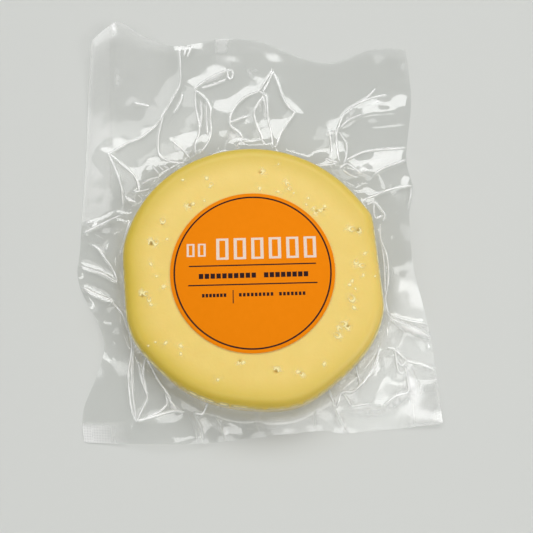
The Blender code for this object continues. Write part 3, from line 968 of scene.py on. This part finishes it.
def makeInkRing(level):
    bpy.ops.object.select_all(action="DESELECT")
    bpy.ops.mesh.primitive_torus_add(
        major_segments=256, minor_segments=8, major_radius=label["ringRadius"] * mm,
        minor_radius=label["line"] / 2 * mm,
        location=(labelSpot[0] * mm, labelSpot[1] * mm, level * mm))
    ring = bpy.context.object
    ring.scale.z = label["ink"] / label["line"]
    return ring


def makeUprights(y, height, left, right, pitch, share, level):
    # a row of plain uprights from end to end
    count = round((right - left) / pitch)
    wide = pitch * share
    pitch = (right - left - wide) / count
    return [makeBar(left + i * pitch, left + i * pitch + wide, y, height, level)
            for i in range(count + 1)]


def makeDarkPrint():
    level = label["high"] + label["ink"] / 4
    parts = [makeInkRing(level)]
    for y, length in label["rules"]:
        parts.append(makeBar(-length / 2, length / 2, y, label["line"] * 0.8, level))
    x, y, height = label["divider"]
    parts.append(makeBar(x - 0.2, x + 0.2, y, height, level))
    for row in label["darkRows"]:
        parts += makeUprights(*row, level)
    return joined("darkPrint", parts)


def makePalePrint():
    # rows of plain hollow boxes: height on the label, how tall, the two ends, count and stroke
    level = label["high"] + label["ink"] / 4
    parts = []
    for y, tall, left, right, count, stroke in label["paleBoxes"]:
        pitch = (right - left) / (count - 0.3)
        for i in range(count):
            start = left + i * pitch
            end = start + 0.7 * pitch
            parts.append(makeBar(start, start + stroke, y, tall, level))
            parts.append(makeBar(end - stroke, end, y, tall, level))
            inner = (start + stroke, end - stroke)
            parts.append(makeBar(*inner, y + (tall - 0.7 * stroke) / 2, 0.7 * stroke, level))
            parts.append(makeBar(*inner, y - (tall - 0.7 * stroke) / 2, 0.7 * stroke, level))
    return joined("palePrint", parts)


roundLabel = makeLabel()
darkPrint = makeDarkPrint()
palePrint = makePalePrint()
print("label: disc, ring, rules and bars")


def newFinish(name):
    finish = bpy.data.materials.new(name)
    finish.use_nodes = True
    tree = finish.node_tree
    return finish, tree, tree.nodes["Principled BSDF"]


def addNode(tree, kind, **settings):
    node = tree.nodes.new(kind)
    for key, value in settings.items():
        if key in node.inputs:
            node.inputs[key].default_value = value
        else:
            setattr(node, key, value)
    return node


cheeseFinish = {
    "middle": (0.845, 0.615, 0.145),
    "pale": (0.905, 0.675, 0.190),
    # rim colour: partly rind, partly painted shade
    "edge": (0.66, 0.480, 0.030),
    # colour of the painted shade in the pits
    "hole": (0.50, 0.310, 0.030),
    "roughness": 0.45,
    "glow": 0.25,
}


def finishCheese():
    finish, tree, shader = newFinish("paleYellowCheese")
    links = tree.links
    place = addNode(tree, "ShaderNodeTexCoord")
    mottle = addNode(tree, "ShaderNodeTexNoise", Scale=130.0, Detail=4.0, Roughness=0.6)
    links.new(place.outputs["Object"], mottle.inputs["Vector"])
    tone = addNode(tree, "ShaderNodeMix", data_type="RGBA")
    tone.inputs[6].default_value = (*cheeseFinish["middle"], 1)
    tone.inputs[7].default_value = (*cheeseFinish["pale"], 1)
    links.new(mottle.outputs["Fac"], tone.inputs[0])
    # towards the rim the colour turns darker and more olive: partly rind, partly painted shade
    edge = addNode(tree, "ShaderNodeAttribute", attribute_name="edge")
    colour = addNode(tree, "ShaderNodeMix", data_type="RGBA")
    colour.inputs[7].default_value = (*cheeseFinish["edge"], 1)
    links.new(edge.outputs["Fac"], colour.inputs[0])
    links.new(tone.outputs[2], colour.inputs[6])
    # painted shade darkens the pits
    hole = addNode(tree, "ShaderNodeAttribute", attribute_name="hole")
    pitShaded = addNode(tree, "ShaderNodeMix", data_type="RGBA")
    pitShaded.inputs[7].default_value = (*cheeseFinish["hole"], 1)
    links.new(hole.outputs["Fac"], pitShaded.inputs[0])
    links.new(colour.outputs[2], pitShaded.inputs[6])
    links.new(pitShaded.outputs[2], shader.inputs["Base Color"])
    shader.inputs["Roughness"].default_value = cheeseFinish["roughness"]
    shader.inputs["Specular IOR Level"].default_value = 0.2
    shader.inputs["Subsurface Weight"].default_value = cheeseFinish["glow"]
    shader.inputs["Subsurface Radius"].default_value = (1.0, 0.6, 0.25)
    shader.inputs["Subsurface Scale"].default_value = 0.003
    grain = addNode(tree, "ShaderNodeTexNoise", Scale=900.0, Detail=3.0)
    links.new(place.outputs["Object"], grain.inputs["Vector"])
    bump = addNode(tree, "ShaderNodeBump", Strength=0.25, Distance=0.0002)
    links.new(grain.outputs["Fac"], bump.inputs["Height"])
    links.new(bump.outputs["Normal"], shader.inputs["Normal"])
    return finish


def between(tree, source, low, high):
    # a value that runs from low to high as the attribute does from 0 to 1
    span = addNode(tree, "ShaderNodeMapRange")
    span.inputs["To Min"].default_value = low
    span.inputs["To Max"].default_value = high
    tree.links.new(source.outputs["Fac"], span.inputs["Value"])
    return span


filmFinish = {
    "through": (0.990, 0.992, 0.988),
    "faceOn": 0.075,          # share mirrored face on, both sides of the film together
    "wetFaceOn": 0.03,        # where it clings to the cheese only its outer side mirrors
    "wetGlance": 0.08,
    "roughness": 0.09,
    "wetRoughness": 0.45,
    "haze": 0.02,
    # colour of the film's haze and of its painted highlights
    "hazeAndGlintColour": (0.98, 0.98, 0.96),
    # colour of the haze and of the painted glints where the film lies on the cheese
    "glintOnCheeseColour": (1.0, 0.92, 0.46),
    "glintStrength": 1.0,         # haze share of a full painted highlight, as along a sharp crest
    "diamonds": 2100.0,       # across a metre
}


def finishFilm():
    finish, tree, shader = newFinish("clearFilm")
    links = tree.links
    tree.nodes.remove(shader)
    output = tree.nodes["Material Output"]
    through = addNode(tree, "ShaderNodeBsdfTransparent", Color=(*filmFinish["through"], 1))
    gloss = addNode(tree, "ShaderNodeBsdfGlossy", Color=(1, 1, 1, 1))
    haze = addNode(tree, "ShaderNodeBsdfDiffuse")
    facing = addNode(tree, "ShaderNodeLayerWeight", Blend=0.5)
    power = addNode(tree, "ShaderNodeMath", operation="POWER")
    power.inputs[1].default_value = 4.0
    links.new(facing.outputs["Facing"], power.inputs[0])
    wet = addNode(tree, "ShaderNodeAttribute", attribute_name="wet")
    paintedGlint = addNode(tree, "ShaderNodeAttribute", attribute_name="paintedGlint")
    tint = addNode(tree, "ShaderNodeMix", data_type="RGBA")
    tint.inputs[6].default_value = (*filmFinish["hazeAndGlintColour"], 1)
    tint.inputs[7].default_value = (*filmFinish["glintOnCheeseColour"], 1)
    links.new(wet.outputs["Fac"], tint.inputs[0])
    links.new(tint.outputs[2], haze.inputs["Color"])
    level = between(tree, wet, filmFinish["faceOn"], filmFinish["wetFaceOn"])
    glance = between(tree, wet, 1.0, filmFinish["wetGlance"])
    share = addNode(tree, "ShaderNodeMath", operation="MULTIPLY_ADD", use_clamp=True)
    links.new(power.outputs[0], share.inputs[0])
    links.new(glance.outputs[0], share.inputs[1])
    links.new(level.outputs[0], share.inputs[2])
    blur = between(tree, wet, filmFinish["roughness"], filmFinish["wetRoughness"])
    links.new(blur.outputs[0], gloss.inputs["Roughness"])
    # painted highlights: the crest lines, glints and spots are mixed in as white haze
    glintHaze = between(tree, paintedGlint, filmFinish["haze"], filmFinish["glintStrength"])
    # the embossed parts carry a small diamond pattern, whitened by their strength as partly painted
    # glare
    place = addNode(tree, "ShaderNodeTexCoord")
    turned = addNode(tree, "ShaderNodeMapping")
    turned.inputs["Rotation"].default_value = (0, 0, math.radians(45))
    links.new(place.outputs["Object"], turned.inputs["Vector"])
    diamonds = addNode(tree, "ShaderNodeTexChecker", Scale=filmFinish["diamonds"])
    diamonds.inputs["Color1"].default_value = (1, 1, 1, 1)
    diamonds.inputs["Color2"].default_value = (0.7, 0.7, 0.7, 1)
    links.new(turned.outputs[0], diamonds.inputs["Vector"])
    embossAndGlare = addNode(tree, "ShaderNodeAttribute", attribute_name="embossAndGlare")
    embossGlareShare = addNode(tree, "ShaderNodeMath", operation="MULTIPLY")
    links.new(embossAndGlare.outputs["Fac"], embossGlareShare.inputs[0])
    links.new(diamonds.outputs["Color"], embossGlareShare.inputs[1])
    # frost, partly whitened as painted glare
    frostAndGlare = addNode(tree, "ShaderNodeAttribute", attribute_name="frostAndGlare")
    frostAndGlareShare = addNode(tree, "ShaderNodeMath", operation="ADD")
    links.new(frostAndGlare.outputs["Fac"], frostAndGlareShare.inputs[0])
    links.new(embossGlareShare.outputs[0], frostAndGlareShare.inputs[1])
    hazeAndGlintShare = addNode(tree, "ShaderNodeMath", operation="ADD", use_clamp=True)
    links.new(glintHaze.outputs[0], hazeAndGlintShare.inputs[0])
    links.new(frostAndGlareShare.outputs[0], hazeAndGlintShare.inputs[1])
    body = addNode(tree, "ShaderNodeMixShader")
    links.new(hazeAndGlintShare.outputs[0], body.inputs[0])
    links.new(through.outputs[0], body.inputs[1])
    links.new(haze.outputs[0], body.inputs[2])
    mix = addNode(tree, "ShaderNodeMixShader")
    links.new(share.outputs[0], mix.inputs[0])
    links.new(body.outputs[0], mix.inputs[1])
    links.new(gloss.outputs[0], mix.inputs[2])
    links.new(mix.outputs[0], output.inputs["Surface"])
    return finish


def finishPaper():
    finish, tree, shader = newFinish("orangePaper")
    links = tree.links
    place = addNode(tree, "ShaderNodeTexCoord")
    fibre = addNode(tree, "ShaderNodeTexNoise", Scale=400.0, Detail=4.0)
    links.new(place.outputs["Object"], fibre.inputs["Vector"])
    tone = addNode(tree, "ShaderNodeMix", data_type="RGBA")
    tone.inputs[6].default_value = (0.84, 0.222, 0.0, 1)
    tone.inputs[7].default_value = (0.88, 0.240, 0.002, 1)
    links.new(fibre.outputs["Fac"], tone.inputs[0])
    links.new(tone.outputs[2], shader.inputs["Base Color"])
    shader.inputs["Roughness"].default_value = 0.7
    shader.inputs["Specular IOR Level"].default_value = 0.06
    bump = addNode(tree, "ShaderNodeBump", Strength=0.15, Distance=0.0001)
    links.new(fibre.outputs["Fac"], bump.inputs["Height"])
    links.new(bump.outputs["Normal"], shader.inputs["Normal"])
    return finish


def finishInk(name, dark, light):
    finish, tree, shader = newFinish(name)
    links = tree.links
    place = addNode(tree, "ShaderNodeTexCoord")
    grain = addNode(tree, "ShaderNodeTexNoise", Scale=700.0, Detail=2.0)
    links.new(place.outputs["Object"], grain.inputs["Vector"])
    tone = addNode(tree, "ShaderNodeMix", data_type="RGBA")
    tone.inputs[6].default_value = (*dark, 1)
    tone.inputs[7].default_value = (*light, 1)
    links.new(grain.outputs["Fac"], tone.inputs[0])
    links.new(tone.outputs[2], shader.inputs["Base Color"])
    shader.inputs["Roughness"].default_value = 0.7
    shader.inputs["Specular IOR Level"].default_value = 0.06
    return finish


dress = [
    (cheeseDisc, finishCheese(), "cheese", "cheese"),
    (pouchFilm, finishFilm(), "pouch", "clear_film"),
    (roundLabel, finishPaper(), "label", "label_paper"),
    (darkPrint, finishInk("plumInk", (0.020, 0.010, 0.012), (0.035, 0.016, 0.016)), "label",
     "label_paper"),
    (palePrint, finishInk("paleInk", (0.78, 0.62, 0.50), (0.84, 0.70, 0.58)), "label",
     "label_paper"),
]
for piece, finish, node, slot in dress:
    piece.data.materials.clear()
    piece.data.materials.append(finish)
    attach(piece, "root")
    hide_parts(node)
print("finishes:", len(dress), "pieces")
